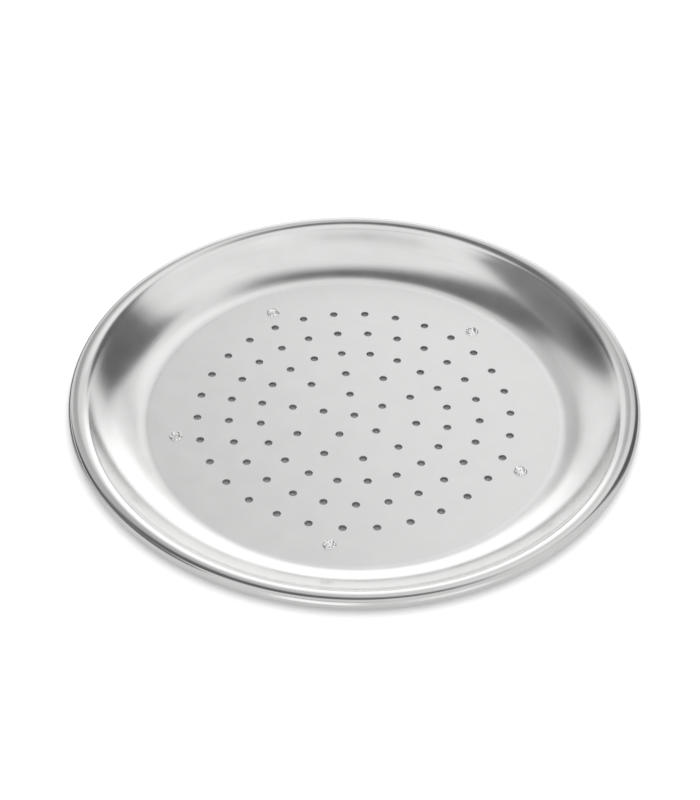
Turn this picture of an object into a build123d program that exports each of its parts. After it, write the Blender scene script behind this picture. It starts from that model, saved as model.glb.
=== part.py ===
from build123d import *
import os
from math import atan2, cos, degrees, radians, sin, tan

# Round perforated pizza pan with a hollow rolled rim, standing on five riveted feet.
# Lengths are in millimetres and angles in degrees. The origin is on the pan's axis,
# on the surface that the feet stand on, and +Z points up.

# The pan's sheet and overall size. The wall's width is seen from above, rim included.
sheet_thickness = 0.8
pan_radius = 180.0
pan_depth = 22.5
wall_width = 49.0

# The bends between floor and rim, all measured on the food side of the sheet.
# A lean is the sheet's angle from level, positive where it climbs outwards.
# The wall's own radius is worked out below, so that it meets the bends on both sides.
floor_bend_radius = 34.0
floor_bend_lean = 22.0
lip_radius = 10.0
lip_end_lean = -13.0
curl_radius = 4.0
curl_end_lean = -305.0

# The perforation: evenly spaced rings of round holes about one hole in the middle,
# with a plain margin from the outermost ring's hole centres to the floor's edge
hole_radius = 2.5
perforation_margin = 31.0
holes_in_ring = (1, 5, 10, 20, 25, 30)
first_hole_angle = 26.5

# The feet: turned buttons under the floor, between the perforation and the floor's edge
foot_count = 5
foot_inset = 16.6
first_foot_angle = 47.1
foot_radius = 8.0
foot_height = 2.0
foot_edge_round = 0.8

# The rivets: a flat head sunk in the foot, a shank, and an end set over the floor
rivet_shank_radius = 2.5
rivet_head_radius = 4.2
rivet_head_height = 0.8
rivet_head_recess = 0.2
rivet_head_clearance = 0.3
rivet_shank_clearance = 0.05
set_end_radius = 4.2
set_end_round = 0.9
pit_depth = 0.5
pit_wall_lean = 50.0

# How far a cut runs past the faces that it opens
overrun = 1.0

# Sizes and heights that follow from these
floor_radius = pan_radius - wall_width
foot_circle_radius = floor_radius - foot_inset
ring_spacing = (floor_radius - perforation_margin) / (len(holes_in_ring) - 1)
floor_underside = foot_height
floor_top = floor_underside + sheet_thickness
counterbore_depth = rivet_head_recess + rivet_head_height


def upward_normal(lean):
    """The unit vector square to a sheet at this lean, in the plane of the section."""
    return Vector(-sin(radians(lean)), 0, cos(radians(lean)))


def bend(centre, radius, start_lean, end_lean):
    """An arc of the section between two leans. A negative radius bends upwards."""
    middle_lean = (start_lean + end_lean) / 2
    leans = (start_lean, middle_lean, end_lean)
    return ThreePointArc(*[centre + upward_normal(lean) * radius for lean in leans])


def pan_bends():
    """Each bend from floor to rim: centre, radius on the food side, and its two leans."""
    floor_bend_centre = Vector(floor_radius, 0, floor_top + floor_bend_radius)
    floor_bend_end = floor_bend_centre - upward_normal(floor_bend_lean) * floor_bend_radius

    # The lip rolls into the tighter curl, whose outside is the pan's outer radius.
    lip_to_curl = upward_normal(lip_end_lean) * (lip_radius - curl_radius)
    lip_top = floor_top + pan_depth
    lip_centre = Vector(pan_radius - curl_radius - lip_to_curl.X, 0, lip_top - lip_radius)
    curl_centre = lip_centre + lip_to_curl

    # The wall leaves the floor bend along its tangent and meets the lip along the lip's.
    to_lip = floor_bend_end - lip_centre
    wall_start = upward_normal(floor_bend_lean)
    wall_radius = (to_lip.dot(to_lip) - lip_radius**2) / (2 * (lip_radius - to_lip.dot(wall_start)))
    wall_centre = floor_bend_end + wall_start * wall_radius
    wall_run = lip_centre - wall_centre
    wall_end_lean = degrees(atan2(wall_run.X, -wall_run.Z))

    return [
        (floor_bend_centre, -floor_bend_radius, 0, floor_bend_lean),
        (wall_centre, -wall_radius, floor_bend_lean, wall_end_lean),
        (lip_centre, lip_radius, wall_end_lean, lip_end_lean),
        (curl_centre, curl_radius, lip_end_lean, curl_end_lean),
    ]


def foot_places():
    """Where the feet and their rivets stand, as seen from above."""
    return PolarLocations(foot_circle_radius, foot_count, first_foot_angle)


def make_pan_shell():
    """One pressing of even sheet: floor, wall, lip and rolled rim, then punched."""
    bends = pan_bends()
    food_side = [bend(centre, radius, start, end) for centre, radius, start, end in bends]
    back_side = [
        bend(centre, radius - sheet_thickness, start, end) for centre, radius, start, end in bends
    ]
    middle_top = Vector(0, 0, floor_top)
    middle_underside = Vector(0, 0, floor_underside)
    section = [
        Line(middle_top, food_side[0] @ 0),
        *food_side,
        Line(food_side[-1] @ 1, back_side[-1] @ 1),
        *back_side,
        Line(back_side[0] @ 0, middle_underside),
        Line(middle_underside, middle_top),
    ]
    shell = revolve(make_face(section), Axis.Z)

    punch_height = sheet_thickness + 2 * overrun
    punch_middle = (floor_top + floor_underside) / 2
    hole_punch = Cylinder(hole_radius, punch_height)
    rivet_punch = Cylinder(rivet_shank_radius + rivet_shank_clearance, punch_height)
    punches = [place * Pos(Z=punch_middle) * rivet_punch for place in foot_places()]
    for ring, hole_count in enumerate(holes_in_ring):
        for place in PolarLocations(ring * ring_spacing, hole_count, first_hole_angle):
            punches.append(place * Pos(Z=punch_middle) * hole_punch)
    return shell - punches


def make_foot():
    """A turned button, bored for the rivet's shank and counterbored for its head."""
    on_ground = (Align.CENTER, Align.CENTER, Align.MIN)
    button = Cylinder(foot_radius, foot_height, align=on_ground)
    button = fillet(button.edges().sort_by(Axis.Z)[0], foot_edge_round)
    bore_height = foot_height + 2 * overrun
    bore = Cylinder(rivet_shank_radius + rivet_shank_clearance, bore_height, align=on_ground)
    counterbore_radius = rivet_head_radius + rivet_head_clearance
    counterbore = Cylinder(counterbore_radius, counterbore_depth + overrun, align=on_ground)
    return button - Pos(Z=-overrun) * bore - Pos(Z=-overrun) * counterbore


def make_foot_rivet():
    """A semi-tubular rivet: its head under the foot's web, its end rolled over the floor."""
    crown_centre = Vector(set_end_radius - set_end_round, 0, floor_top)
    crown_outside = crown_centre + Vector(set_end_round, 0, 0)
    crown_top = crown_centre + Vector(0, 0, set_end_round)
    mouth = crown_centre + upward_normal(pit_wall_lean) * set_end_round
    pit_bottom = floor_top - pit_depth
    pit_radius = mouth.X - (mouth.Z - pit_bottom) / tan(radians(pit_wall_lean))
    section = [
        Line((0, 0, rivet_head_recess), (rivet_head_radius, 0, rivet_head_recess)),
        Line((rivet_head_radius, 0, rivet_head_recess), (rivet_head_radius, 0, counterbore_depth)),
        Line((rivet_head_radius, 0, counterbore_depth), (rivet_shank_radius, 0, counterbore_depth)),
        Line((rivet_shank_radius, 0, counterbore_depth), (rivet_shank_radius, 0, floor_top)),
        Line((rivet_shank_radius, 0, floor_top), crown_outside),
        ThreePointArc(crown_outside, crown_top, mouth),
        Line(mouth, (pit_radius, 0, pit_bottom)),
        Line((pit_radius, 0, pit_bottom), (0, 0, pit_bottom)),
        Line((0, 0, pit_bottom), (0, 0, rivet_head_recess)),
    ]
    return revolve(make_face(section), Axis.Z)


os.makedirs("parts", exist_ok=True)
export_step(make_pan_shell(), "parts/pan_shell.step")
foot = make_foot()
foot_rivet = make_foot_rivet()
for number, place in enumerate(foot_places(), start=1):
    export_step(place * foot, f"parts/foot_{number}.step")
    export_step(place * foot_rivet, f"parts/foot_rivet_{number}.step")
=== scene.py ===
# %% [markdown]
# # A perforated pizza pan in steel
# The real pan is one pressing of thin steel sheet. It has a satin floor full of small holes,
# a polished wall that curves outwards, and an edge rolled round into a hollow rim. Five
# low buttons under the floor are its feet, and a rivet holds each one.
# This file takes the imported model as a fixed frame, models each visible piece over it with
# Blender's own editing tools, and finishes the steel with procedural materials. All lengths
# are in metres and all angles in degrees. +Z points up, and the pan's axis is the Z axis.

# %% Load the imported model
import bmesh
import bpy
from math import atan2, cos, degrees, hypot, radians, sin, tan
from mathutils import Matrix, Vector


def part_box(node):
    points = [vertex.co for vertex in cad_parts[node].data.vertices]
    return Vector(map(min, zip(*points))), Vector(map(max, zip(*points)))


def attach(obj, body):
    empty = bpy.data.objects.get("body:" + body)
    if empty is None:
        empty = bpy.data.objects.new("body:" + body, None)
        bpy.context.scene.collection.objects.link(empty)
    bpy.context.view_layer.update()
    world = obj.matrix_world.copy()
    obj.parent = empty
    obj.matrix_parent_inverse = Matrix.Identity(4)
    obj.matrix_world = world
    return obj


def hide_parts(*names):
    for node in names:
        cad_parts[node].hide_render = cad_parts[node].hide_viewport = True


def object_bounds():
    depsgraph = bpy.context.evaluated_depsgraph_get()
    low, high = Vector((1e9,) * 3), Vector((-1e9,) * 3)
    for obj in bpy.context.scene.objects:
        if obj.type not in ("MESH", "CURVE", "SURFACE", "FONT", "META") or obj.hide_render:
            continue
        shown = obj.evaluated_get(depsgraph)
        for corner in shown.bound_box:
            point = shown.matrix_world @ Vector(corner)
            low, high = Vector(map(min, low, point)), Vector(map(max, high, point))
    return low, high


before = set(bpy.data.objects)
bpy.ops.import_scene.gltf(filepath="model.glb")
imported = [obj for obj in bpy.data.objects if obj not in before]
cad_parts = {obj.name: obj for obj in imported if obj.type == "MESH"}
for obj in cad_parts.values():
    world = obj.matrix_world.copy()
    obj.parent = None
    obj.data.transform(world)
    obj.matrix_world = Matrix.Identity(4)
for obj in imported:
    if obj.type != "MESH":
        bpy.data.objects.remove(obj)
cad_low, cad_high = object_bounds()
pan_low, pan_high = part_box("pan_shell")


def mm(length):
    """A length in millimetres, rounded for printing."""
    return round(length * 1000, 2)


print("the pan is", mm(pan_high.x - pan_low.x), "mm wide")

# %% [markdown]
# ## The camera
# The photograph looks down into the pan from the front. Its holes lie on rings of known
# spacing, so their places in the picture give the camera's place, tilt and roll. The focal
# length was found in pixels, and the sensor's width belongs to the picture's long side.

# %% Place the camera
picture_long_side = 800
focal_length_in_pixels = 2065.8
sensor_width_in_mm = 36
camera_place = Vector((-0.0029, -0.9635, 0.9035))
camera_pitch = 42.651
camera_roll = 0.954

camera = bpy.data.objects.new("camera", bpy.data.cameras.new("camera"))
bpy.context.scene.collection.objects.link(camera)
bpy.context.scene.camera = camera
camera.data.sensor_width = sensor_width_in_mm
camera.data.lens = focal_length_in_pixels / picture_long_side * sensor_width_in_mm
camera.location = camera_place
camera.rotation_mode = "ZYX"
camera.rotation_euler = (radians(90 - camera_pitch), 0, radians(camera_roll))
print("lens", round(camera.data.lens, 2), "mm")

# %% [markdown]
# ## Working by hand, in code
# Each piece starts as a primitive and is shaped in edit mode. An operator acts on all that
# is selected, so the helpers that pick first let go of everything, and then pick vertices
# by where they are, or faces by the way that they point.


# %% Helpers for edit mode
full_turn = 360.0
origin = (0, 0, 0)
merge_distance = 0.00001
smooth_below = 40.0


def begin(name):
    """A new object of this name in edit mode, holding one vertex at the origin."""
    bpy.ops.object.select_all(action="DESELECT")
    bpy.ops.mesh.primitive_plane_add(size=1, location=origin)
    piece = bpy.context.object
    piece.name = name
    piece.data.name = name
    bpy.ops.object.mode_set(mode="EDIT")
    bpy.ops.mesh.select_all(action="SELECT")
    bpy.ops.mesh.merge(type="CENTER")
    return piece


def move_selected(step):
    """Moves what is selected by this much."""
    bpy.ops.transform.translate(value=step)


def extrude_selected(step):
    """Extrudes what is selected, and moves the new part by this much."""
    bpy.ops.mesh.extrude_region_move(TRANSFORM_OT_translate={"value": step})


def spin_selected(steps, turn, centre, axis):
    """Sweeps what is selected about an axis. The newest part is selected afterwards."""
    angle = radians(turn)
    bpy.ops.mesh.spin(steps=steps, angle=angle, center=centre, axis=axis, use_auto_merge=False)


# %% Helpers for picking parts
def from_axis(place):
    """How far a place is from the Z axis."""
    return hypot(place.x, place.y)


def pick_vertices(piece, is_wanted):
    """Selects the vertices whose place is_wanted accepts, and the edges and faces they fill."""
    bpy.ops.mesh.select_all(action="DESELECT")
    bpy.ops.mesh.select_mode(type="VERT")
    shape = bmesh.from_edit_mesh(piece.data)
    for vertex in shape.verts:
        vertex.select = is_wanted(vertex.co)
    shape.select_flush(True)
    bmesh.update_edit_mesh(piece.data)
    return sum(vertex.select for vertex in shape.verts)


def pick_faces(piece, is_wanted):
    """Selects the faces whose normal is_wanted accepts."""
    bpy.ops.mesh.select_all(action="DESELECT")
    bpy.ops.mesh.select_mode(type="FACE")
    shape = bmesh.from_edit_mesh(piece.data)
    for face in shape.faces:
        face.select = is_wanted(face.normal)
    shape.select_flush(True)
    bmesh.update_edit_mesh(piece.data)
    print("picked", sum(face.select for face in shape.faces), "face of", piece.name)


# %% Helpers for finishing a piece
def face_outwards():
    """Turns all the faces one way, which is outwards on a closed shape, and selects them."""
    bpy.ops.mesh.select_all(action="SELECT")
    bpy.ops.mesh.normals_make_consistent(inside=False)


def merge_doubles():
    """Merges vertices that lie on each other, as at the seam where a full spin ends."""
    bpy.ops.mesh.select_all(action="SELECT")
    bpy.ops.mesh.remove_doubles(threshold=merge_distance)


def leave_smooth():
    """Leaves edit mode, and shades the faces smooth but for their sharp edges."""
    bpy.ops.object.mode_set(mode="OBJECT")
    bpy.ops.object.shade_smooth_by_angle(angle=radians(smooth_below))


def use_modifier(piece, kind, **settings):
    """Adds a modifier with these settings, and applies it."""
    modifier = piece.modifiers.new(kind.lower(), kind)
    for setting, value in settings.items():
        setattr(modifier, setting, value)
    bpy.ops.object.modifier_apply(modifier=modifier.name)


def finish_piece(piece, node):
    """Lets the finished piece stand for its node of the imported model."""
    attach(piece, "root")
    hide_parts(node)
    triangles = sum(len(face.vertices) - 2 for face in piece.data.polygons)
    print(piece.name, "has", triangles, "triangles")


# %% [markdown]
# ## The pan's section
# Seen in section, the sheet runs level across the floor and then through four arcs: a
# gentle bend, the long curve of the wall, a tighter lip, and the curl of the rim. Each
# arc starts along the end of the one before it. A lean is the sheet's angle from level.
# The pan's radius and heights come from the frame, the wall's width is seen from above with
# the rim, and the wall's own radius is worked out, so that it meets the bends on both sides.

# %% Sizes of the sheet
sheet_thickness = 0.0008
pan_radius = pan_high.x
floor_underside = pan_low.z
floor_top = floor_underside + sheet_thickness
lip_top = pan_high.z
wall_width = 0.049
floor_radius = pan_radius - wall_width
floor_bend_radius = 0.034
floor_bend_lean = 22.0
lip_radius = 0.010
lip_end_lean = -13.0
curl_radius = 0.004
curl_end_lean = -305.0


def upward_normal(lean):
    """The unit vector square to a sheet at this lean, in the plane of the section."""
    return Vector((-sin(radians(lean)), 0, cos(radians(lean))))


# %% Centres of the bends
floor_bend_centre = Vector((floor_radius, 0, floor_top + floor_bend_radius))
floor_bend_end = floor_bend_centre - upward_normal(floor_bend_lean) * floor_bend_radius
lip_to_curl = upward_normal(lip_end_lean) * (lip_radius - curl_radius)
lip_centre = Vector((pan_radius - curl_radius - lip_to_curl.x, 0, lip_top - lip_radius))
curl_centre = lip_centre + lip_to_curl
to_lip = floor_bend_end - lip_centre
wall_start = upward_normal(floor_bend_lean)
wall_radius = (to_lip.dot(to_lip) - lip_radius**2) / (2 * (lip_radius - to_lip.dot(wall_start)))
wall_centre = floor_bend_end + wall_start * wall_radius
wall_run = lip_centre - wall_centre
wall_end_lean = degrees(atan2(wall_run.x, -wall_run.z))
print("wall radius", mm(wall_radius), "mm, ending at a lean of", round(wall_end_lean, 2), "degrees")

# %% [markdown]
# ## Drawing the section
# The food side is drawn as a line of edges. One vertex is extruded across the last stretch
# of the floor, and then spun about the centre of each bend in turn. After a spin the newest
# vertex is still selected, so the next arc carries on from it. The narrow level stretch at
# the floor's edge keeps the flat floor's shading crisp against the bend.

# %% Draw the section
edge_stretch = 0.0015
bend_steps = {"floor bend": 10, "wall": 16, "lip": 22, "curl": 44}
square_to_section = (0, 1, 0)

pan = begin("pan_shell_pressed")
move_selected((floor_radius - edge_stretch, 0, floor_top))
extrude_selected((edge_stretch, 0, 0))


def spin_bend(centre, start_lean, end_lean, steps):
    """Carries the section on through one arc, about the arc's centre."""
    spin_selected(steps, end_lean - start_lean, centre, square_to_section)
    shape = bmesh.from_edit_mesh(pan.data)
    end = next(vertex.co for vertex in shape.verts if vertex.select)
    print("bend ends", mm(end.x), "mm from the axis and", mm(end.z), "mm up")


spin_bend(floor_bend_centre, 0, floor_bend_lean, bend_steps["floor bend"])
spin_bend(wall_centre, floor_bend_lean, wall_end_lean, bend_steps["wall"])
spin_bend(lip_centre, wall_end_lean, lip_end_lean, bend_steps["lip"])
spin_bend(curl_centre, lip_end_lean, curl_end_lean, bend_steps["curl"])

# %% [markdown]
# ## Spinning the sheet
# The section is spun once round the pan's axis, as a lathe tool would sweep it. The seam
# is merged, the open floor is filled with one flat face, and the normals are turned to the
# food side. Solidify then gives the sheet its even thickness on the back.

# %% Spin the sheet and give it thickness
steps_round = 288
up = (0, 0, 1)
flat_within = floor_radius - edge_stretch / 2

bpy.ops.mesh.select_all(action="SELECT")
spin_selected(steps_round, full_turn, origin, up)
merge_doubles()
inner_edge = pick_vertices(pan, lambda place: from_axis(place) < flat_within)
bpy.ops.mesh.edge_face_add()
face_outwards()
shape = bmesh.from_edit_mesh(pan.data)
floor_face = max(shape.faces, key=lambda face: face.calc_area())
if floor_face.normal.z < 0:
    bpy.ops.mesh.flip_normals()
bpy.ops.object.mode_set(mode="OBJECT")
use_modifier(pan, "SOLIDIFY", thickness=sheet_thickness, offset=-1, use_even_offset=True)
print("the floor's edge had", inner_edge, "vertices")

# %% [markdown]
# ## Punching the holes
# The holes lie on evenly spaced rings, so each ring needs only its radius and its count. One
# round punch is added at the start of each ring, and a spin with duplicates sets the rest.
# The rivets' bores are one more ring. A Boolean then takes all the punches out of the sheet
# at once.

# %% Sizes of the perforation
hole_radius = 0.0025
perforation_margin = 0.031
holes_in_ring = (1, 5, 10, 20, 25, 30)
first_hole_angle = 26.5
ring_spacing = (floor_radius - perforation_margin) / (len(holes_in_ring) - 1)
hole_sides = 32
punch_height = 0.003

foot_low, foot_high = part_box("foot_1")
foot_middle = (foot_low + foot_high) / 2
foot_circle_radius = hypot(foot_middle.x, foot_middle.y)
first_foot_angle = degrees(atan2(foot_middle.y, foot_middle.x))
foot_count = sum(name.startswith("foot_rivet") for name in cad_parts)
rivet_bore_radius = 0.00255
print(sum(holes_in_ring), "holes on rings", mm(ring_spacing), "mm apart, and", foot_count, "rivet bores")

# %% Make the punches
punch = begin("punch")
bpy.ops.mesh.delete(type="VERT")


def add_punch_ring(ring_radius, count, first_angle, radius):
    """Sets round punches evenly on one ring."""
    angle = radians(first_angle)
    place = (ring_radius * cos(angle), ring_radius * sin(angle), floor_top - sheet_thickness / 2)
    bpy.ops.mesh.select_all(action="DESELECT")
    bpy.ops.mesh.primitive_cylinder_add(
        vertices=hole_sides, radius=radius, depth=punch_height, location=place
    )
    if count > 1:
        turn = radians(full_turn * (count - 1) / count)
        bpy.ops.mesh.spin(steps=count - 1, angle=turn, center=origin, axis=up, dupli=True)


for ring, count in enumerate(holes_in_ring):
    add_punch_ring(ring * ring_spacing, count, first_hole_angle, hole_radius)
add_punch_ring(foot_circle_radius, foot_count, first_foot_angle, rivet_bore_radius)
face_outwards()
bpy.ops.object.mode_set(mode="OBJECT")
print("punches:", len(punch.data.vertices) // (2 * hole_sides))

# %% Cut the holes
bpy.ops.object.select_all(action="DESELECT")
pan.select_set(True)
bpy.context.view_layer.objects.active = pan
use_modifier(pan, "BOOLEAN", object=punch, operation="DIFFERENCE", solver="EXACT")
bpy.data.objects.remove(punch)
print("the punched sheet has", len(pan.data.polygons), "faces")

# %% [markdown]
# ## Easing the edges
# A punched edge is never quite sharp: the sheet rolls over a little on the side that the
# punch enters. The sharp edges of the holes and of the curl's end are picked by their
# angle and bevelled in two steps. The vertex group keeps the weighted normals to the floor,
# whose large flat faces would otherwise shade towards the holes' eased edges.

# %% Bevel the punched edges and smooth the shading
edge_ease = 0.00012
ease_steps = 2
sharp_from = 60.0

bpy.ops.object.mode_set(mode="EDIT")
bpy.ops.mesh.select_all(action="DESELECT")
bpy.ops.mesh.select_mode(type="EDGE")
bpy.ops.mesh.edges_select_sharp(sharpness=radians(sharp_from))
bpy.ops.mesh.bevel(offset=edge_ease, segments=ease_steps, affect="EDGES")
bpy.ops.mesh.select_mode(type="VERT")
leave_smooth()
flat_floor = pan.vertex_groups.new(name="flat_floor")
flat_vertices = [vertex.index for vertex in pan.data.vertices if from_axis(vertex.co) < flat_within]
flat_floor.add(flat_vertices, 1, "REPLACE")
use_modifier(pan, "WEIGHTED_NORMAL", keep_sharp=True, vertex_group="flat_floor")
finish_piece(pan, "pan_shell")

# %% [markdown]
# ## The feet
# The feet are turned steel buttons, hidden under the floor. One is modelled on the pan's
# axis from a cylinder: its lower face is inset and pushed up for the rivet's head, both
# faces are inset to the bore, and a bridge joins the two openings. The outer edges are
# bevelled, because a turned foot has no sharp edge to mark a table.

# %% Sizes of a foot
foot_radius = (foot_high.x - foot_low.x) / 2
foot_height = foot_high.z - foot_low.z
foot_edge_round = 0.0008
foot_round_steps = 6
foot_top_ease = 0.00015
foot_sides = 64
counterbore_radius = 0.0045
counterbore_depth = 0.001
nearly_level = 0.9
print("a foot is", mm(2 * foot_radius), "mm wide and", mm(foot_height), "mm high")

# %% Bore one foot
bpy.ops.object.select_all(action="DESELECT")
bpy.ops.mesh.primitive_cylinder_add(
    vertices=foot_sides, radius=foot_radius, depth=foot_height, location=(0, 0, foot_height / 2)
)
foot = bpy.context.object
foot.name = "foot_button"
bpy.ops.object.transform_apply(location=True, rotation=True, scale=True)
bpy.ops.object.mode_set(mode="EDIT")
pick_faces(foot, lambda normal: normal.z < -nearly_level)
bpy.ops.mesh.inset(thickness=foot_radius - counterbore_radius, depth=0)
extrude_selected((0, 0, counterbore_depth))
bpy.ops.mesh.inset(thickness=counterbore_radius - rivet_bore_radius, depth=0)
bpy.ops.mesh.delete(type="FACE")
pick_faces(foot, lambda normal: normal.z > nearly_level)
bpy.ops.mesh.inset(thickness=foot_radius - rivet_bore_radius, depth=0)
bpy.ops.mesh.delete(type="FACE")
at_bore = pick_vertices(foot, lambda place: from_axis(place) < rivet_bore_radius + merge_distance)
bpy.ops.mesh.bridge_edge_loops()
face_outwards()
print("the bore's two rims have", at_bore, "vertices")


# %% Round the foot's edges
def round_outer_edge(height, size, steps):
    """Bevels the foot's outer edge at this height."""
    outside = foot_radius - merge_distance
    pick_vertices(
        foot, lambda place: from_axis(place) > outside and abs(place.z - height) < merge_distance
    )
    bpy.ops.mesh.bevel(offset=size, segments=steps, affect="EDGES")


round_outer_edge(0, foot_edge_round, foot_round_steps)
round_outer_edge(foot_height, foot_top_ease, ease_steps)
bpy.ops.mesh.select_mode(type="VERT")
leave_smooth()
print("one foot has", len(foot.data.polygons), "faces")

# %% [markdown]
# ## The rivets
# A semi-tubular rivet goes up through the foot and the floor, and its hollow end is rolled
# over outwards against the sheet. That leaves a small round crown with a dished middle,
# and the rolled wall often splits a little, like a star. The section is drawn as a line,
# spun round, and every few steps one line of vertices on the crown is pressed down as a split.

# %% Sizes of a rivet
rivet_shank_radius = 0.0025
rivet_head_radius = 0.0042
rivet_head_recess = 0.0002
set_end_radius = 0.0042
set_end_round = 0.0009
pit_depth = 0.0005
pit_wall_lean = 50.0
crown_steps = 12
rivet_steps = 60

crown_centre = Vector((set_end_radius - set_end_round, 0, floor_top))
mouth = crown_centre + upward_normal(pit_wall_lean) * set_end_round
pit_bottom = floor_top - pit_depth
pit_radius = mouth.x - (mouth.z - pit_bottom) / tan(radians(pit_wall_lean))
print("the crown is", mm(2 * set_end_radius), "mm wide, and the pit's bottom", mm(2 * pit_radius), "mm")

# %% Spin one rivet
rivet = begin("foot_rivet_set")
move_selected((0, 0, rivet_head_recess))
extrude_selected((rivet_head_radius, 0, 0))
extrude_selected((0, 0, counterbore_depth - rivet_head_recess))
extrude_selected((rivet_shank_radius - rivet_head_radius, 0, 0))
extrude_selected((0, 0, floor_top - counterbore_depth))
extrude_selected((set_end_radius - rivet_shank_radius, 0, 0))
spin_selected(crown_steps, 90 + pit_wall_lean, crown_centre, square_to_section)
extrude_selected((pit_radius - mouth.x, 0, pit_bottom - mouth.z))
extrude_selected((-pit_radius, 0, 0))
bpy.ops.mesh.select_all(action="SELECT")
spin_selected(rivet_steps, full_turn, origin, up)
merge_doubles()
face_outwards()
print("one rivet has", len(bmesh.from_edit_mesh(rivet.data).faces), "faces")

# %% Split the crown
split_count = 6
split_depth = 0.0004
split_clearance = 0.00015
split_from_height = floor_top + split_clearance
split_within = crown_centre.x + set_end_round / 2


def is_on_split(place):
    """Whether a vertex lies on one of the lines where the rolled end has split."""
    split_spacing = full_turn / split_count
    angle = degrees(atan2(place.y, place.x))
    off_line = abs(angle - round(angle / split_spacing) * split_spacing)
    is_on_line = off_line < full_turn / rivet_steps / 2
    return is_on_line and place.z > split_from_height and from_axis(place) < split_within


split_vertices = pick_vertices(rivet, is_on_split)
move_selected((0, 0, -split_depth))
leave_smooth()
print("the splits press", split_vertices, "vertices down")

# %% [markdown]
# ## Setting feet and rivets in place
# The foot and the rivet were modelled on the pan's axis. Each copy has a mesh of its own and
# is moved to where the frame has its node. The rivets are turned as well, each to an angle
# of its own, because no two split alike. Applying move and turn leaves the object at the
# origin, unturned.


# %% Copy them to their places
def set_copy(model, name, node, own_angle):
    """A copy of the model with its own mesh, set where the node is."""
    low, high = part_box(node)
    copy = bpy.data.objects.new(name, model.data.copy())
    copy.data.name = name
    bpy.context.scene.collection.objects.link(copy)
    copy.location = ((low.x + high.x) / 2, (low.y + high.y) / 2, 0)
    copy.rotation_euler.z = radians(own_angle)
    bpy.ops.object.select_all(action="DESELECT")
    copy.select_set(True)
    bpy.context.view_layer.objects.active = copy
    bpy.ops.object.transform_apply(location=True, rotation=True, scale=True)
    return copy


rivet_angles = (8, 41, 23, 52, 33)
feet = []
rivets = []
for number, own_angle in enumerate(rivet_angles, start=1):
    foot_copy = set_copy(foot, f"foot_button_{number}", f"foot_{number}", 0)
    finish_piece(foot_copy, f"foot_{number}")
    feet.append(foot_copy)
    rivet_copy = set_copy(rivet, f"foot_rivet_set_{number}", f"foot_rivet_{number}", own_angle)
    finish_piece(rivet_copy, f"foot_rivet_{number}")
    rivets.append(rivet_copy)
bpy.data.objects.remove(foot)
bpy.data.objects.remove(rivet)

# %% [markdown]
# ## Helpers for the node trees
# A material is a small program in boxes and wires. These helpers add one box each and
# return its output, so that a finish can be read as a few lines of sums.


# %% Helpers for numbers in a node tree
def feed(tree, socket, value):
    """Links an output to this input, or sets a plain value on it."""
    if isinstance(value, bpy.types.NodeSocket):
        tree.links.new(value, socket)
    else:
        socket.default_value = value


def sum_of(tree, operation, first, second=0.0):
    """A Math node's output."""
    node = tree.nodes.new("ShaderNodeMath")
    node.operation = operation
    feed(tree, node.inputs[0], first)
    feed(tree, node.inputs[1], second)
    return node.outputs[0]


def ramp_between(tree, value, low, high, out_low=0.0, out_high=1.0):
    """A smooth step: out_low where the value is at low, and out_high where it is at high."""
    node = tree.nodes.new("ShaderNodeMapRange")
    node.interpolation_type = "SMOOTHSTEP"
    feed(tree, node.inputs["Value"], value)
    settings = {"From Min": low, "From Max": high, "To Min": out_low, "To Max": out_high}
    for name, setting in settings.items():
        feed(tree, node.inputs[name], setting)
    return node.outputs[0]


def mix_numbers(tree, share, first, second):
    """The first number where share is 0, and the second where it is 1."""
    node = tree.nodes.new("ShaderNodeMix")
    node.data_type = "FLOAT"
    feed(tree, node.inputs["Factor"], share)
    feed(tree, node.inputs["A"], first)
    feed(tree, node.inputs["B"], second)
    return node.outputs["Result"]


# %% [markdown]
# Noise is the raw material of most finishes. It needs a place, so places are taken apart,
# measured and put together again by helpers too.


# %% Helpers for places and noise
noise_middle = 0.5


def vector_of(tree, x, y, z):
    """Three numbers as one vector."""
    node = tree.nodes.new("ShaderNodeCombineXYZ")
    feed(tree, node.inputs[0], x)
    feed(tree, node.inputs[1], y)
    feed(tree, node.inputs[2], z)
    return node.outputs[0]


def parts_of(tree, vector):
    """The three numbers of a vector."""
    node = tree.nodes.new("ShaderNodeSeparateXYZ")
    feed(tree, node.inputs[0], vector)
    return node.outputs


def length_of(tree, vector):
    """How long a vector is."""
    node = tree.nodes.new("ShaderNodeVectorMath")
    node.operation = "LENGTH"
    feed(tree, node.inputs[0], vector)
    return node.outputs["Value"]


def scaled(tree, vector, share):
    """A vector or a colour times a number."""
    node = tree.nodes.new("ShaderNodeVectorMath")
    node.operation = "SCALE"
    feed(tree, node.inputs[0], vector)
    feed(tree, node.inputs["Scale"], share)
    return node.outputs[0]


def noise_at(tree, place, scale, detail=2.0):
    """Noise from about 0 to 1, with features about one unit of place divided by scale wide."""
    node = tree.nodes.new("ShaderNodeTexNoise")
    feed(tree, node.inputs["Vector"], place)
    node.inputs["Scale"].default_value = scale
    node.inputs["Detail"].default_value = detail
    return node.outputs["Fac"]


def off_middle(tree, noise):
    """Noise that strays to both sides of 0."""
    return sum_of(tree, "SUBTRACT", noise, noise_middle)


# %% [markdown]
# Each material then starts from a plain shader, may get a bump, and goes on its pieces.


# %% Helpers for materials
def new_material(name):
    """A material with an empty tree but for its shader and output."""
    material = bpy.data.materials.new(name)
    material.use_nodes = True
    tree = material.node_tree
    shader = tree.nodes["Principled BSDF"]
    return material, tree, shader


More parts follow.
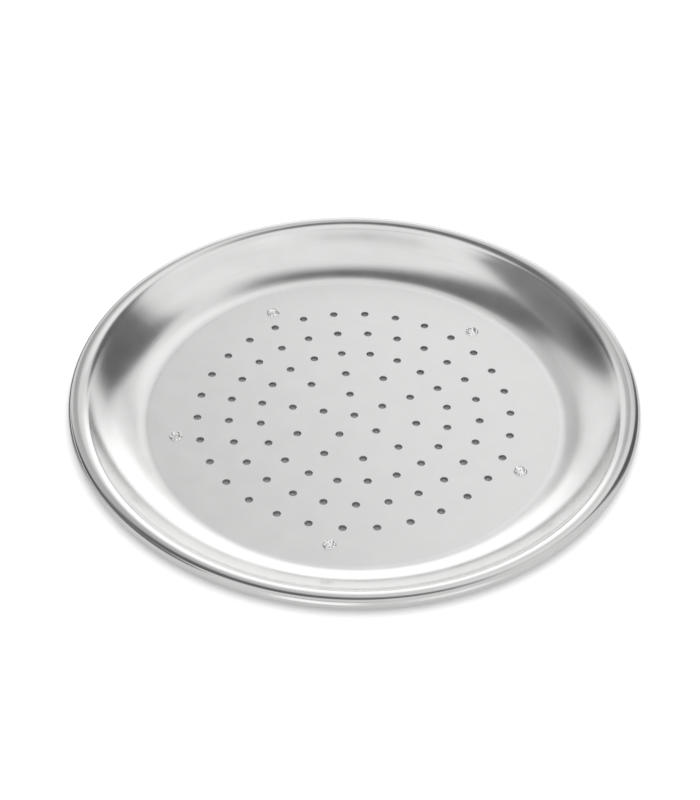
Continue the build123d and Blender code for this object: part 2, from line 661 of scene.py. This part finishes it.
def raise_surface(tree, shader, height, strength, depth):
    """Lets a height from 0 to 1 catch the light as if the surface were this deep."""
    bump = tree.nodes.new("ShaderNodeBump")
    bump.inputs["Strength"].default_value = strength
    bump.inputs["Distance"].default_value = depth
    feed(tree, bump.inputs["Height"], height)
    feed(tree, shader.inputs["Normal"], bump.outputs[0])


def dress(piece, material):
    """Gives a piece this material alone."""
    piece.data.materials.clear()
    piece.data.materials.append(material)


# %% [markdown]
# ## The pan's steel
# The floor keeps the sheet's satin finish, and the wall and rim are polished, so one
# material changes with the distance from the pan's axis. The change takes about a
# millimetre each way at the floor's edge. The rolled rim is smoother than the wall, so it
# has a roughness of its own, and its colour is darkened as painted shade for the dark lines
# that the curl mirrors and blurs together. It begins on the lip, where the sheet has almost
# come level again, and the two leans say where.

# %% Floor, wall and rim
polish_edge = 0.0012
rim_from_lean = 20.0
rim_to_lean = 7.0

pan_steel, tree, shader = new_material("pan_steel")
shader.inputs["Metallic"].default_value = 1.0
place = tree.nodes.new("ShaderNodeTexCoord").outputs["Object"]
x, y, z = parts_of(tree, place)
distance = length_of(tree, vector_of(tree, x, y, 0.0))
polished = ramp_between(tree, distance, floor_radius - polish_edge, floor_radius + polish_edge)
rim_from = lip_centre.x - lip_radius * sin(radians(rim_from_lean))
rim_to = lip_centre.x - lip_radius * sin(radians(rim_to_lean))
on_rim = ramp_between(tree, distance, rim_from, rim_to)
print("polished from", mm(floor_radius), "mm, and the rim's finish from", mm(rim_from), "mm")

# %% [markdown]
# The polishing wheel runs round the pan and leaves faint rings. They are stretched noise:
# it changes fast along the section and slowly round the pan, because the place it reads is
# made from the direction on the pan and the run along the section. The pressed sheet is
# never perfectly even either, which gives wide soft clouds, and the floor's satin is a
# very fine grain.

# %% Rings, clouds and grain
rings_per_metre = 1400.0
rings_round = 4.0
ring_detail = 3.0
cloud_scale = 60.0
cloud_detail = 3.0
satin_grain_scale = 2500.0

round_x = sum_of(tree, "MULTIPLY", sum_of(tree, "DIVIDE", x, distance), rings_round)
round_y = sum_of(tree, "MULTIPLY", sum_of(tree, "DIVIDE", y, distance), rings_round)
along_section = sum_of(tree, "MULTIPLY", sum_of(tree, "ADD", distance, z), rings_per_metre)
place_on_rings = vector_of(tree, round_x, round_y, along_section)
rings = noise_at(tree, place_on_rings, scale=1.0, detail=ring_detail)
clouds = noise_at(tree, place, cloud_scale, cloud_detail)
satin_grain = noise_at(tree, place, satin_grain_scale)
print("rings", mm(1 / rings_per_metre), "mm apart, clouds", mm(1 / cloud_scale), "mm wide")

# %% [markdown]
# Rings and clouds lighten and darken the colour a little, and the clouds also make the
# finish rougher and smoother by places, so that what the steel mirrors wavers as it does in
# real sheet. The surface is raised by the rings on the wall and by the grain on the floor.

# %% Colour of the pan's steel
steel_colour = (0.80, 0.80, 0.795, 1)
# The rim's darker colour is painted shade, for the dark reflections in the curl.
rim_painted_shade_colour = (0.64, 0.64, 0.635, 1)
colour_wander = 0.1

colour = tree.nodes.new("ShaderNodeMix")
colour.data_type = "RGBA"
feed(tree, colour.inputs["Factor"], on_rim)
colour.inputs["A"].default_value = steel_colour
colour.inputs["B"].default_value = rim_painted_shade_colour
ring_shade = sum_of(tree, "MULTIPLY", off_middle(tree, rings), polished)
cloud_shade = off_middle(tree, clouds)
shade = sum_of(tree, "MULTIPLY", sum_of(tree, "ADD", ring_shade, cloud_shade), colour_wander)
tone = scaled(tree, colour.outputs["Result"], sum_of(tree, "ADD", shade, 1.0))
feed(tree, shader.inputs["Base Color"], tone)
print("the steel's tone strays by up to", colour_wander, "of itself")

# %% Roughness and surface of the pan's steel
satin_roughness = 0.32
polished_roughness = 0.18
rim_roughness = 0.14
cloud_roughness = 0.08
pan_surface_strength = 0.5
pan_surface_depth = 0.00002

wall_roughness = mix_numbers(tree, on_rim, polished_roughness, rim_roughness)
roughness = mix_numbers(tree, polished, satin_roughness, wall_roughness)
wander = sum_of(tree, "MULTIPLY", cloud_shade, cloud_roughness)
feed(tree, shader.inputs["Roughness"], sum_of(tree, "ADD", roughness, wander))
surface = mix_numbers(tree, polished, satin_grain, rings)
raise_surface(tree, shader, surface, pan_surface_strength, pan_surface_depth)
dress(pan, pan_steel)
print(pan_steel.name, "has", len(tree.nodes), "nodes")

# %% [markdown]
# ## The steel of rivets and feet
# The tool that rolls a rivet's end over burnishes it, so it is smoother than the floor
# around it, and a coarse grain roughens it. Its colour is speckled with painted shade in
# the grain's hollows and a painted highlight on what stands proud. A foot is turned and has
# a finer, shallower grain, which reads as a soft satin, with a little painted shade in its
# hollows. Both are one recipe with different numbers.


# %% Rivet and foot steel
# Where the grain's painted shade is full, where its painted highlight is full, and how bright that
# highlight is.
painted_shade_grain = 0.34
painted_highlight_grain = 0.5
painted_highlight_tone = 1.15
small_grain_detail = 3.0
small_surface_strength = 0.3


def small_steel(name, roughness, roughness_wander, grain_scale, grain_depth, painted_shade_share):
    """Steel with a grain for the small pieces, with painted shade in the grain's hollows and a painted
    highlight on what stands proud.
    """
    material, tree, shader = new_material(name)
    shader.inputs["Metallic"].default_value = 1.0
    place = tree.nodes.new("ShaderNodeTexCoord").outputs["Object"]
    grain = noise_at(tree, place, grain_scale, small_grain_detail)
    # Painted shade and highlight: the colour darkens where the grain is low and lightens where it stands
    # proud.
    tone = ramp_between(tree, grain, painted_shade_grain, painted_highlight_grain, 1.0 - painted_shade_share, painted_highlight_tone)
    feed(tree, shader.inputs["Base Color"], scaled(tree, steel_colour[:3], tone))
    wander = sum_of(tree, "MULTIPLY", off_middle(tree, grain), roughness_wander)
    feed(tree, shader.inputs["Roughness"], sum_of(tree, "ADD", wander, roughness))
    raise_surface(tree, shader, grain, small_surface_strength, grain_depth)
    print(name, "has a grain", mm(1 / grain_scale), "mm wide")
    return material


rivet_steel = small_steel(
    "rivet_steel",
    roughness=0.1,
    roughness_wander=0.15,
    grain_scale=900.0,
    grain_depth=0.00012,
    painted_shade_share=0.5,
)
foot_steel = small_steel(
    "foot_steel",
    roughness=0.32,
    roughness_wander=0.1,
    grain_scale=1500.0,
    grain_depth=0.00002,
    painted_shade_share=0.1,
)
for piece in rivets:
    dress(piece, rivet_steel)
for piece in feet:
    dress(piece, foot_steel)

# %% [markdown]
# ## The studio
# Polished steel shows the room more than itself. The pan was photographed in a pale tent,
# with a white sheet behind it, two bright boxes beside the camera, and dark cards at the
# left, at the right and overhead. The dark bands in its wall are those cards. The world is
# drawn as that tent, by direction: azimuth runs from +X towards +Y, and elevation up from
# the horizon.

# %% Direction in the world
white = (1, 1, 1, 1)
black = (0, 0, 0, 1)

world = bpy.data.worlds.new("studio")
bpy.context.scene.world = world
world.use_nodes = True
sky = world.node_tree
background = sky.nodes["Background"]
background.inputs["Color"].default_value = white
looking = sky.nodes.new("ShaderNodeTexCoord").outputs["Generated"]
x, y, z = parts_of(sky, looking)
azimuth = sum_of(sky, "DEGREES", sum_of(sky, "ARCTAN2", y, x))
elevation = sum_of(sky, "DEGREES", sum_of(sky, "ARCSINE", z))
print("the world is named", world.name)

# %% [markdown]
# A card is a patch of the sky between two azimuths and two elevations, with soft edges. Seen
# from the pan, its right side has the smaller azimuth. A side can slant, which moves it with
# the elevation. Azimuths run round, so the way past a side is wrapped to half a turn at
# most in either direction. Each card is hung before what is there already.


# %% Cards in the sky
half_turn = full_turn / 2


def product_of(*shares):
    """All these shares multiplied: 1 only where each of them is 1."""
    product = shares[0]
    for share in shares[1:]:
        product = sum_of(sky, "MULTIPLY", product, share)
    return product


def fall_between(value, low, high):
    """A smooth step down: 1 where the value is at low, and 0 where it is at high."""
    return ramp_between(sky, value, low, high, 1.0, 0.0)


def band(value, low, high, blur):
    """1 between low and high, fading to 0 over the blur on both sides."""
    rise = ramp_between(sky, value, low - blur, low + blur)
    return product_of(rise, fall_between(value, high - blur, high + blur))


def beyond(side, slant):
    """How far the azimuth is past a side that moves with the elevation."""
    turned = sum_of(sky, "SUBTRACT", azimuth, sum_of(sky, "MULTIPLY", elevation, slant))
    wrapped = sky.nodes.new("ShaderNodeMath")
    wrapped.operation = "WRAP"
    feed(sky, wrapped.inputs[0], sum_of(sky, "SUBTRACT", turned, side))
    wrapped.inputs[1].default_value = half_turn
    wrapped.inputs[2].default_value = -half_turn
    return wrapped.outputs[0]


def hang(level, new_level, right, left, low, high, blur, right_slant=0.0, left_slant=0.0):
    """The level with a card of new_level hung before it, seen from the pan."""
    past_right = ramp_between(sky, beyond(right, right_slant), -blur, blur)
    before_left = fall_between(beyond(left, left_slant), -blur, blur)
    shape = product_of(past_right, before_left, band(elevation, low, high, blur))
    return mix_numbers(sky, shape, level, new_level)


# %% [markdown]
# Behind the pan, the tent is shaded at the left and brighter at the right. The white sheet
# hangs before both, in two parts with sides that slant. A faint grey seam crosses its upper
# right, rising to the left.

# %% The tent and the white sheet
tent_level = 0.91
shade_level = 0.64
deep_shade_level = 0.52
bright_tent_level = 1.05
white_level = 1.35
seam_level = 0.72
seam_rise = 0.27

level = hang(tent_level, shade_level, right=92, left=138, low=36, high=54, blur=4)
level = hang(level, deep_shade_level, right=93, left=118, low=28, high=41, blur=4)
level = hang(level, bright_tent_level, right=56, left=85, low=43, high=62, blur=4)
level = hang(level, white_level, right=56, left=108, low=-10, high=22, blur=7, right_slant=0.3)
level = hang(
    level, white_level, right=21, left=130, low=18, high=41, blur=4, right_slant=1.9, left_slant=-1.0
)
above_seam = sum_of(sky, "SUBTRACT", elevation, sum_of(sky, "MULTIPLY", azimuth, seam_rise))
seam = product_of(band(above_seam, low=16, high=21, blur=2.5), band(azimuth, low=50, high=77, blur=4))
level = mix_numbers(sky, seam, level, seam_level)
print("the white sheet is", round(white_level / tent_level, 2), "times as bright as the tent")

# %% [markdown]
# The bright boxes stand to the camera's left and right, and a strip of shade runs over the
# left one. The outside of the near rim mirrors them as two bright stretches.

# %% The boxes beside the camera
left_box_level = 1.5
right_box_level = 1.25
box_shade_level = 0.66

level = hang(level, left_box_level, right=245, left=271, low=-10, high=40, blur=7)
level = hang(level, right_box_level, right=293, left=320, low=-10, high=34, blur=7)
level = hang(level, box_shade_level, right=234, left=290, low=48, high=56, blur=6)
print("the left box is", round(left_box_level / right_box_level, 2), "times as bright as the right one")

# %% [markdown]
# The card at the left is darkest in its middle. Its upper left corner is cut off by a steep
# line, and its lower edge climbs to the left, so it is drawn apart and let through only
# where neither line takes it away. A dark strip lies below it, from the horizon down.

# %% The card at the left
left_card_level = 0.22
left_card_middle_level = 0.1
low_strip_level = 0.2

left_card = hang(level, left_card_level, right=140, left=196, low=3, high=54, blur=5, left_slant=0.35)
left_card = hang(left_card, left_card_middle_level, right=146, left=164, low=12, high=34, blur=7)
past_corner = ramp_between(sky, beyond(side=349, slant=-3.0), low=-9, high=9)
cut_corner = product_of(past_corner, ramp_between(sky, elevation, low=32, high=38))
left_card = mix_numbers(sky, cut_corner, left_card, level)
under_card = ramp_between(sky, beyond(side=112, slant=3.3), low=-16, high=16)
level = mix_numbers(sky, under_card, left_card, level)
level = hang(
    level, low_strip_level, right=151, left=183, low=-40, high=4, blur=5, right_slant=0.5, left_slant=0.5
)
print("the left card shows", round(left_card_level / tent_level, 2), "of the tent's light")

# %% [markdown]
# The card overhead is drawn on a level ceiling instead, where its straight sides are
# straight. A place on that ceiling is how far the direction runs sideways for each metre
# that it climbs. Towards the horizon that would grow without end, so the climb is never
# taken as less than a small height.


# %% The ceiling
lowest_height = 0.05
height = sum_of(sky, "MAXIMUM", z, lowest_height)
run_x = sum_of(sky, "DIVIDE", x, height)
run_y = sum_of(sky, "DIVIDE", y, height)


def leaning(lean):
    """The place across the ceiling, from a line that leans by this much along it."""
    return sum_of(sky, "ADD", run_x, sum_of(sky, "MULTIPLY", run_y, lean))


def rising(rise):
    """The place along the ceiling, from a line that rises by this much across it."""
    return sum_of(sky, "SUBTRACT", run_y, sum_of(sky, "MULTIPLY", run_x, rise))


# %% [markdown]
# Four soft edges make the card, and a fifth takes off its far right corner. Along its left
# edge a narrow strip of half light comes through.

# %% The card overhead
roof_level = 0.17
gap_level = 0.36
left_edge_lean = 0.48

roof_left = ramp_between(sky, leaning(left_edge_lean), low=-0.7, high=-0.56)
roof_corner = fall_between(leaning(lean=1.1), low=0.42, high=0.82)
roof_right = fall_between(run_x, low=0.2, high=0.55)
roof_front = ramp_between(sky, rising(rise=0.1), low=-0.06, high=0.18)
roof_back = fall_between(rising(rise=0.3), low=0.62, high=0.86)
roof = product_of(roof_left, roof_corner, roof_right, roof_front, roof_back)
level = mix_numbers(sky, roof, level, roof_level)
gap_across = band(leaning(left_edge_lean), low=-0.67, high=-0.61, blur=0.05)
gap_along = band(run_y, low=0.05, high=0.8, blur=0.15)
level = mix_numbers(sky, product_of(gap_across, gap_along), level, gap_level)
print("the card overhead shows", round(roof_level / tent_level, 2), "of the tent's light")

# %% [markdown]
# The tent is cloth and hangs in folds. Soft noise by direction stands for them, and keeps
# the mirrored room from looking drawn. What the camera sees directly is plain white.

# %% Folds, and white for the camera
fold_scale = 3.2
fold_depth = 0.3

folds = off_middle(sky, noise_at(sky, looking, fold_scale))
folds = sum_of(sky, "MULTIPLY", folds, fold_depth)
level = sum_of(sky, "MULTIPLY", level, sum_of(sky, "ADD", folds, 1.0))
seen_directly = sky.nodes.new("ShaderNodeLightPath").outputs["Is Camera Ray"]
feed(sky, background.inputs["Strength"], mix_numbers(sky, seen_directly, level, 1.0))
print("the sky has", len(sky.nodes), "nodes")

# %% [markdown]
# ## Two cards close to the pan
# A card in the world is infinitely far away, and every place on the pan sees it in the same
# direction. The dark card at the right stood little more than a metre off, so that the wall
# at the left and the rim at the right show it in different places. It is a real face here,
# and so is a low one on the table at the left. Only reflections see them. Their mirror
# images have soft edges, so each card is a fan of triangles, and it covers what is behind it
# not at all at its rim and in full from some way in.


# %% How to stand a card
def stand_card(name, corners, brightness, soft_share):
    """A card with soft edges that only reflections see, drawn as a fan about its middle."""
    bpy.ops.object.select_all(action="DESELECT")
    bpy.ops.mesh.primitive_circle_add(
        vertices=len(corners), radius=1, fill_type="TRIFAN", location=origin
    )
    card = bpy.context.object
    card.name = name
    middle = min(card.data.vertices, key=lambda vertex: vertex.co.length)
    rim = [vertex for vertex in card.data.vertices if vertex.index != middle.index]
    for vertex, corner in zip(rim, corners):
        vertex.co = corner
    middle.co = sum((Vector(corner) for corner in corners), Vector()) / len(corners)
    cover = card.data.attributes.new("cover", "FLOAT", "POINT")
    cover.data[middle.index].value = 1.0

    material, tree, shader = new_material(name)
    shader.inputs["Base Color"].default_value = black
    shader.inputs["Specular IOR Level"].default_value = 0.0
    shader.inputs["Emission Color"].default_value = white
    shader.inputs["Emission Strength"].default_value = brightness
    from_edge = tree.nodes.new("ShaderNodeAttribute")
    from_edge.attribute_name = "cover"
    fade = tree.nodes.new("ShaderNodeMixShader")
    feed(tree, fade.inputs[0], ramp_between(tree, from_edge.outputs["Fac"], 0.0, soft_share))
    feed(tree, fade.inputs[1], tree.nodes.new("ShaderNodeBsdfTransparent").outputs[0])
    feed(tree, fade.inputs[2], shader.outputs[0])
    feed(tree, tree.nodes["Material Output"].inputs["Surface"], fade.outputs[0])
    card.data.materials.append(material)
    card.visible_camera = False
    card.visible_diffuse = False
    card.visible_shadow = False
    print(name, "has", len(corners), "corners, with its middle at", [round(v, 2) for v in middle.co])


# %% [markdown]
# The right card's corners are given as they look from the pan's left wall, whose dark patch
# shows them best: an azimuth and an elevation each, on a plane that faces the wall.

# %% Stand the right card
seen_from = Vector((-0.165, 0.03, 0.02))
right_card_distance = 1.25
right_card_azimuth = 30.0
right_card_directions = ((9, 3), (44, 3), (53, 16), (50, 47), (33, 55), (9, 24))
right_card_brightness = 0.13
right_card_softness = 0.4

right_corners = []
for corner_azimuth, corner_elevation in right_card_directions:
    away = right_card_distance / cos(radians(corner_azimuth - right_card_azimuth))
    across = Vector((cos(radians(corner_azimuth)), sin(radians(corner_azimuth)), 0))
    climb = Vector((0, 0, tan(radians(corner_elevation))))
    right_corners.append(seen_from + (across + climb) * away)
stand_card("right_card", right_corners, right_card_brightness, right_card_softness)

# %% Lay the low card
low_card_right = -0.15
low_card_left = -1.0
low_card_front = -0.08
low_card_back = 0.65
low_card_height = 0.001
low_card_brightness = 0.04
low_card_softness = 0.3

low_corners = [
    (low_card_left, low_card_front, low_card_height),
    (low_card_right, low_card_front, low_card_height),
    (low_card_right, low_card_back, low_card_height),
    (low_card_left, low_card_back, low_card_height),
]
stand_card("low_card", low_corners, low_card_brightness, low_card_softness)

# %% [markdown]
# ## The table
# The pan stands on a plain white table that runs out of sight. A glow lifts the open table
# to the white of the background for the camera, and by a share of that where the steel
# mirrors it. The glow fades out in a ring about a point a little behind the pan's axis, so
# near the pan the table keeps its real shading, and the ring paints the edge of a shadow onto
# it, set a little to the back as light from the front would throw it.

# %% The table
table_size = 6.0
table_colour = (0.75, 0.75, 0.75, 1)
table_roughness = 0.9
glow_level = 0.68
mirrored_share = 0.4
# The painted shadow's ring: how far behind the axis its middle lies, and the distances from there over
# which the glow comes back.
painted_shadow_back = 0.018
painted_shadow_ends_at = 0.189
painted_shadow_full_within = 0.1765

bpy.ops.object.select_all(action="DESELECT")
bpy.ops.mesh.primitive_plane_add(size=table_size, location=(0, 0, cad_low.z))
table = bpy.context.object
table.name = "table"
table_white, tree, shader = new_material("table_white")
shader.inputs["Base Color"].default_value = table_colour
shader.inputs["Roughness"].default_value = table_roughness
shader.inputs["Emission Color"].default_value = white
place = tree.nodes.new("ShaderNodeTexCoord").outputs["Object"]
from_painted_shadow = tree.nodes.new("ShaderNodeVectorMath")
from_painted_shadow.operation = "DISTANCE"
feed(tree, from_painted_shadow.inputs[0], place)
from_painted_shadow.inputs[1].default_value = (0, painted_shadow_back, 0)
past_painted_shadow = from_painted_shadow.outputs["Value"]
# Painted shadow: the glow is 0 inside the ring and full beyond it.
glow = ramp_between(tree, past_painted_shadow, painted_shadow_full_within, painted_shadow_ends_at, 0.0, glow_level)
light_path = tree.nodes.new("ShaderNodeLightPath")
mirrored = sum_of(tree, "MULTIPLY", light_path.outputs["Is Glossy Ray"], mirrored_share)
seen = sum_of(tree, "ADD", light_path.outputs["Is Camera Ray"], mirrored)
feed(tree, shader.inputs["Emission Strength"], sum_of(tree, "MULTIPLY", glow, seen))
table.data.materials.append(table_white)
print("the table's glow starts", mm(painted_shadow_full_within), "mm from the shadow's middle")

# %% [markdown]
# ## Colour management
# The Standard view shows each level as it is. Blender's own choice would pull the bright
# steel and the white table towards grey.

# %% Choose the view
bpy.context.scene.view_settings.view_transform = "Standard"
print("the view is", bpy.context.scene.view_settings.view_transform)
